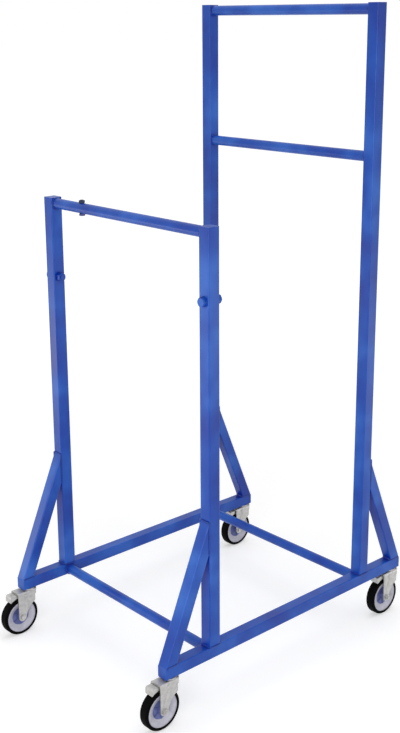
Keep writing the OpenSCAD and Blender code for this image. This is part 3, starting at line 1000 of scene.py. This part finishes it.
@dataclass
class HexFasteners:
    """The bolts of the front posts and of the low rail, with the threads that show past their nuts.

    Attributes:
        half_post: Half the side of a post.
        washer: Thickness of a cross bolt's washer.
        nut_height: Height of a cross bolt's nut.
        nut_flats: Width of that nut across its flats.
        cross_thread: Thread on a cross bolt's end.
        rail_thread: Thread on the rail bolt's end.
    """

    half_post: float = 16 * MM
    washer: float = 2.5 * MM
    nut_height: float = 10.08 * MM
    nut_flats: float = 19.2 * MM
    cross_thread: BoltThread = BoltThread(radius=6 * MM, length=2 * MM, pitch=1.75 * MM)
    rail_thread: BoltThread = BoltThread(radius=4 * MM, length=1 * MM, pitch=0.9 * MM)

    def dress(self, finishes: Finishes) -> None:
        """Gives the bolts, washers and nuts their finish and winds the threads.

        Args:
            finishes: The finished materials.
        """
        for node in ("cross_bolts", "cross_bolt_washers", "cross_bolt_nuts"):
            dress(node, finishes.paint)
        dress("rail_bolt", finishes.blued)
        dress("rail_bolt_nut", finishes.black)
        dress("stem_nuts", finishes.zinc)
        self.wind_cross_threads(finishes.paint)
        middle = box_centre("rail_bolt")
        tip = Vector((middle.x, middle.y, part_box("rail_bolt")[1].z))
        self.rail_thread.wind("thread_rail_bolt", tip, Z_AXIS, finishes.blued, "frame", "bolt_steel")

    def wind_cross_threads(self, paint: Material) -> None:
        """Winds the threads of both cross bolts.

        Args:
            paint: The finish of the bolts.
        """
        left, right = box_centre("post_front_left"), box_centre("post_front_right")
        low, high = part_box("cross_bolt_nuts")
        # The left bolt points to the middle of the stand and the right bolt to the back. The left nut is
        # the lower one and stands on a corner; the right one lies on a flat.
        reach = self.half_post + self.washer + self.nut_height + self.cross_thread.length
        ends = (
            ("left", Vector((left.x + reach, left.y, low.z + self.nut_flats / math.sqrt(3))), X_AXIS),
            ("right", Vector((right.x, right.y + reach, high.z - self.nut_flats / 2)), Y_AXIS),
        )
        for name, tip, out in ends:
            self.cross_thread.wind(f"thread_cross_bolt_{name}", tip, out, paint, "frame", "frame_paint")


@dataclass
class Caster:
    """One swivel caster: stem, fork, wheel and foot brake.

    Attributes:
        tail: The tail of its nodes' names.
        side: The side of the stand that it is on.
        axle_thread: Thread on the axle bolt's end.
        ribs: Number of grip ribs pressed across the pedal.
        rib_start: Distance from the pedal's free edge to the first rib.
        rib_gap: Distance from one grip rib to the next.
        rib_length: Length of a grip rib.
        rib_width: Width of a grip rib.
        rib_height: Height of a grip rib.
        rib_flat: Width of the flat on its crest, as a share of its own.
        rib_sunk: How deep its foot lies in the pedal.
        rib_sides: Points round a rib.
        rib_levels: Rings of points from its foot to its crest.
        ring_places: Radii of the raised rings on a tyre's side, as shares of the tyre's.
        ring_width: Width of a raised ring.
        ring_steps: Steps round a ring.
        ring_sides: Points round its section.
    """

    tail: str
    side: Side
    axle_thread: BoltThread = BoltThread(radius=4 * MM, length=2.5 * MM, pitch=1.25 * MM)
    ribs: int = 4
    rib_start: float = 5.4 * MM
    rib_gap: float = 2.7 * MM
    rib_length: float = 15 * MM
    rib_width: float = 1.5 * MM
    rib_height: float = 0.8 * MM
    rib_flat: float = 0.04
    rib_sunk: float = 0.05 * MM
    rib_sides: int = 28
    rib_levels: int = 5
    ring_places: tuple[float, ...] = (0.875, 0.925)
    ring_width: float = 0.9 * MM
    ring_steps: int = 96
    ring_sides: int = 8

    def dress(self, finishes: Finishes) -> None:
        """Finishes the caster's nodes and adds its small detail.

        Args:
            finishes: The finished materials.
        """
        for group in ("stem", "fork", "axle", "axle_nut", "brake_lever", "brake_pin"):
            dress(f"{group}_{self.tail}", finishes.zinc)
        dress(f"tyre_{self.tail}", finishes.rubber)
        dress(f"rim_{self.tail}", finishes.rim)
        dress(f"hub_{self.tail}", finishes.hub)
        self.press_ribs(finishes.zinc)
        self.mould_rings(finishes.rubber)
        self.wind_thread(finishes.zinc)

    def press_ribs(self, zinc: Material) -> None:
        """Presses the grip ribs across the top of the brake pedal.

        Args:
            zinc: The finish of the pedal.
        """
        low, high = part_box(f"brake_lever_{self.tail}")
        middle_x = (low.x + high.x) / 2
        first = low.y + self.rib_start
        points: list[Vector] = []
        faces: list[Face] = []
        for i in range(self.ribs):
            faces += skin(self.rib_levels, self.rib_sides, False, len(points))
            points += self.rib_points(Vector((middle_x, first + i * self.rib_gap, high.z)))
        add_piece(f"pedal_ribs_{self.tail}", points, faces, zinc, f"brake_{self.tail}")

    def rib_points(self, centre: Vector) -> list[Vector]:
        """Sets out one grip rib: a long low dome with rounded ends.

        Args:
            centre: The middle of the rib's foot.

        Returns:
            Its vertices, ring by ring from the foot up.
        """
        points: list[Vector] = []
        straight = self.rib_length / 2 - self.rib_width / 2
        for level in range(self.rib_levels):
            climb = level / (self.rib_levels - 1) * math.pi / 2
            radius = self.rib_width / 2 * (math.cos(climb) * (1 - self.rib_flat) + self.rib_flat)
            lift = self.rib_height * math.sin(climb) - self.rib_sunk
            for k in range(self.rib_sides):
                turn = 2 * math.pi * k / self.rib_sides
                end = 1 if math.cos(turn) >= 0 else -1
                along = straight * end + radius * math.cos(turn)
                points.append(centre + X_AXIS * along + Y_AXIS * (radius * math.sin(turn)) + Z_AXIS * lift)
        return points

    def mould_rings(self, rubber: Material) -> None:
        """Moulds fine raised rings on both sides of the tyre, round in section and half sunk in it.

        Args:
            rubber: The finish of the tyre.
        """
        low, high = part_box(f"tyre_{self.tail}")
        centre = (low + high) / 2
        radius = (high.z - low.z) / 2
        half_width = (high.x - low.x) / 2
        points: list[Vector] = []
        faces: list[Face] = []
        for side in Side:
            middle = centre + X_AXIS * (side.value * half_width)
            for share in self.ring_places:
                faces += skin(self.ring_steps, self.ring_sides, True, len(points))
                for place in circle(middle, Y_AXIS, Z_AXIS, radius * share, self.ring_steps):
                    ray = (place - middle).normalized()
                    points += circle(place, ray, X_AXIS, self.ring_width / 2, self.ring_sides)
        add_piece(f"tyre_rings_{self.tail}", points, faces, rubber, f"wheel_{self.tail}")

    def wind_thread(self, zinc: Material) -> None:
        """Winds the thread on the end of the axle bolt.

        Args:
            zinc: The finish of the bolt.
        """
        low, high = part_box(f"axle_{self.tail}")
        centre = (low + high) / 2
        tip = Vector((high.x if self.side is Side.RIGHT else low.x, centre.y, centre.z))
        out = X_AXIS * self.side.value
        self.axle_thread.wind(
            f"thread_axle_{self.tail}", tip, out, zinc, f"caster_{self.tail}", "zinc_steel"
        )


@dataclass(frozen=True)
class PhotoCamera:
    """The camera, as a perspective fit of the photograph gives it.

    Attributes:
        place: Where it stands, measured from the floor under the middle of the base tubes.
        yaw: Turn about Z away from looking along +Y, in degrees.
        pitch: How far it looks down, in degrees.
        roll: Turn about its own axis, in degrees.
        focal_px: Focal length in pixels of the photograph.
        axis_px: Where its axis meets the photograph, in pixels from the top left.
        image_px: Width and height of the photograph.
        sensor_mm: Size of the sensor's longer side.
        sight: How far it sees.
    """

    place: tuple[float, float, float] = (2.0480, -1.8643, 1.5545)
    yaw: float = 47.76
    pitch: float = 15.0
    roll: float = -0.24
    focal_px: float = 1144.08
    axis_px: tuple[float, float] = (209.11, 325.75)
    image_px: tuple[int, int] = (400, 733)
    sensor_mm: float = 36.0
    sight: float = 200.0

    def build(self, middle_y: float) -> None:
        """Builds the camera and makes it the scene's.

        Args:
            middle_y: Where the middle of the base tubes is along Y.
        """
        long_side = max(self.image_px)
        data = bpy.data.cameras.new("photo_camera")
        data.sensor_width = self.sensor_mm
        data.lens = self.focal_px * self.sensor_mm / long_side
        data.shift_x = (self.image_px[0] / 2 - self.axis_px[0]) / long_side
        data.shift_y = (self.axis_px[1] - self.image_px[1] / 2) / long_side
        data.clip_end = self.sight
        camera = bpy.data.objects.new("photo_camera", data)
        x, y, z = self.place
        stand = Matrix.Translation(Vector((x, y + middle_y, z)))
        turn = Matrix.Rotation(math.radians(self.yaw), 4, "Z")
        tilt = Matrix.Rotation(math.radians(90 - self.pitch), 4, "X")
        level = Matrix.Rotation(math.radians(self.roll), 4, "Z")
        camera.matrix_world = stand @ turn @ tilt @ level
        bpy.context.scene.collection.objects.link(camera)
        bpy.context.scene.camera = camera
        LOG.info("photo_camera: stands where the photograph was taken from")


@dataclass(frozen=True)
class SoftLight:
    """A large square softbox.

    Attributes:
        name: Its name.
        place: Where it hangs.
        size: Length of its side.
        power: Its power in watts.
    """

    name: str
    place: tuple[float, float, float]
    size: float
    power: float

    def build(self, target: Vector) -> None:
        """Hangs the light and points it at a place.

        Args:
            target: What it points at.
        """
        data = bpy.data.lights.new(self.name, "AREA")
        data.size = self.size
        data.energy = self.power
        light = bpy.data.objects.new(self.name, data)
        light.location = self.place
        light.rotation_euler = (target - light.location).to_track_quat("-Z", "Y").to_euler()
        light.visible_camera = False
        bpy.context.scene.collection.objects.link(light)
        LOG.info("%s: %.1f W", self.name, self.power)


def seen_white(tree: Tree) -> Socket:
    """Tells what is only seen from what gives light.

    Args:
        tree: The node tree that gets the nodes.

    Returns:
        A value of 1 for what the camera, a gloss or a glass sees, and 0 for what gives light.
    """
    ray = add_node(tree, "ShaderNodeLightPath")
    value = ray.outputs["Is Camera Ray"]
    for name in ("Is Glossy Ray", "Is Transmission Ray"):
        either = add_node(tree, "ShaderNodeMath", {"operation": "MAXIMUM"}, {0: value, 1: ray.outputs[name]})
        value = either.outputs["Value"]
    return value


@dataclass
class Studio:
    """White floor, white surround and soft light, as for a catalogue picture.

    Attributes:
        ambient: Strength of the even light from all round.
        target: The place that all the lights point at.
        lights: The softboxes.
        floor_size: Side of the floor.
        floor_colour: Colour of the floor.
        near: Distance from the stand out to which the floor keeps its shadow.
        far: Distance at which the lamps no longer reach the floor.
        near_lift: Light that the camera sees from the floor itself close to the stand.
        far_lift: The same far away, where the lamps add less, so that the floor is white there too.
    """

    ambient: float = 0.60
    target: tuple[float, float, float] = (0.0, 0.0, 0.75)
    lights: tuple[SoftLight, ...] = (
        SoftLight("key softbox", place=(2.0, -2.7, 1.1), size=1.6, power=50.0),
        SoftLight("left softbox", place=(-1.6, -1.45, 0.3), size=0.5, power=3.6),
        SoftLight("right softbox", place=(1.7, 1.5, 0.3), size=0.5, power=3.6),
        SoftLight("top softbox", place=(0.2, 0.6, 4.2), size=3.0, power=42.0),
    )
    floor_size: float = 120.0
    floor_colour: str = "#DEDEDE"
    near: float = 1.0
    far: float = 3.5
    near_lift: float = 0.40
    far_lift: float = 0.62

    def build(self) -> None:
        """Builds the floor, the surround and the lights."""
        bpy.context.scene.view_settings.view_transform = "Standard"
        self.surround()
        self.floor()
        for light in self.lights:
            light.build(Vector(self.target))

    def surround(self) -> None:
        """Makes the world white to the camera and in reflections, and a soft even light otherwise."""
        world = bpy.data.worlds.new("studio surround")
        tree = empty_tree(world)
        soft = add_node(tree, "ShaderNodeBackground", {"Color": WHITE, "Strength": self.ambient})
        white = add_node(tree, "ShaderNodeBackground", {"Color": WHITE, "Strength": 1.0})
        mix = add_node(
            tree, "ShaderNodeMixShader",
            links={"Fac": seen_white(tree), 1: soft.outputs["Background"], 2: white.outputs["Background"]},
        )
        add_node(tree, "ShaderNodeOutputWorld", links={"Surface": mix.outputs["Shader"]})
        bpy.context.scene.world = world
        LOG.info("studio surround: white")

    def floor(self) -> None:
        """Lays the pale floor."""
        half = self.floor_size / 2
        outline = [(-half, -half, 0), (half, -half, 0), (half, half, 0), (-half, half, 0)]
        mesh = bpy.data.meshes.new("studio_floor")
        mesh.from_pydata(outline, [], [(0, 1, 2, 3)])
        mesh.materials.append(self.floor_material())
        floor = bpy.data.objects.new("studio_floor", mesh)
        bpy.context.scene.collection.objects.link(floor)
        LOG.info("studio_floor: matt white paint")

    def floor_material(self) -> Material:
        """Builds the floor's matt white paint, which looks white and still takes a shadow.

        Returns:
            The finished material.
        """
        material = bpy.data.materials.new("matt white painted floor")
        tree = empty_tree(material)
        paint = add_node(tree, "ShaderNodeBsdfDiffuse", {"Color": linear(self.floor_colour)})
        place = add_node(tree, "ShaderNodeTexCoord").outputs["Object"]
        distance = add_node(tree, "ShaderNodeVectorMath", {"operation": "LENGTH"}, {0: place})
        lift = add_node(
            tree, "ShaderNodeMapRange",
            {
                "interpolation_type": "SMOOTHSTEP",
                "From Min": self.near,
                "From Max": self.far,
                "To Min": self.near_lift,
                "To Max": self.far_lift,
            },
            {"Value": distance.outputs["Value"]},
        )
        strength = add_node(
            tree, "ShaderNodeMath", {"operation": "MULTIPLY"},
            {0: seen_white(tree), 1: lift.outputs["Result"]},
        )
        glow = add_node(
            tree, "ShaderNodeEmission", {"Color": WHITE}, {"Strength": strength.outputs["Value"]}
        )
        both = add_node(
            tree, "ShaderNodeAddShader", links={0: paint.outputs["BSDF"], 1: glow.outputs["Emission"]}
        )
        add_node(tree, "ShaderNodeOutputMaterial", links={"Surface": both.outputs["Shader"]})
        return material


def main() -> None:
    """Builds the whole picture. Every piece reports itself through the log."""
    logging.basicConfig(level=logging.INFO, format="%(message)s")
    PhotoCamera().build(box_centre("base_tube_left").y)
    Studio().build()
    finishes = Finishes.build()
    TubeFrame().dress(finishes)
    HexFasteners().dress(finishes)
    for side, _, tail in stand_corners():
        Caster(tail, side).dress(finishes)


if __name__ == "__main__":
    main()
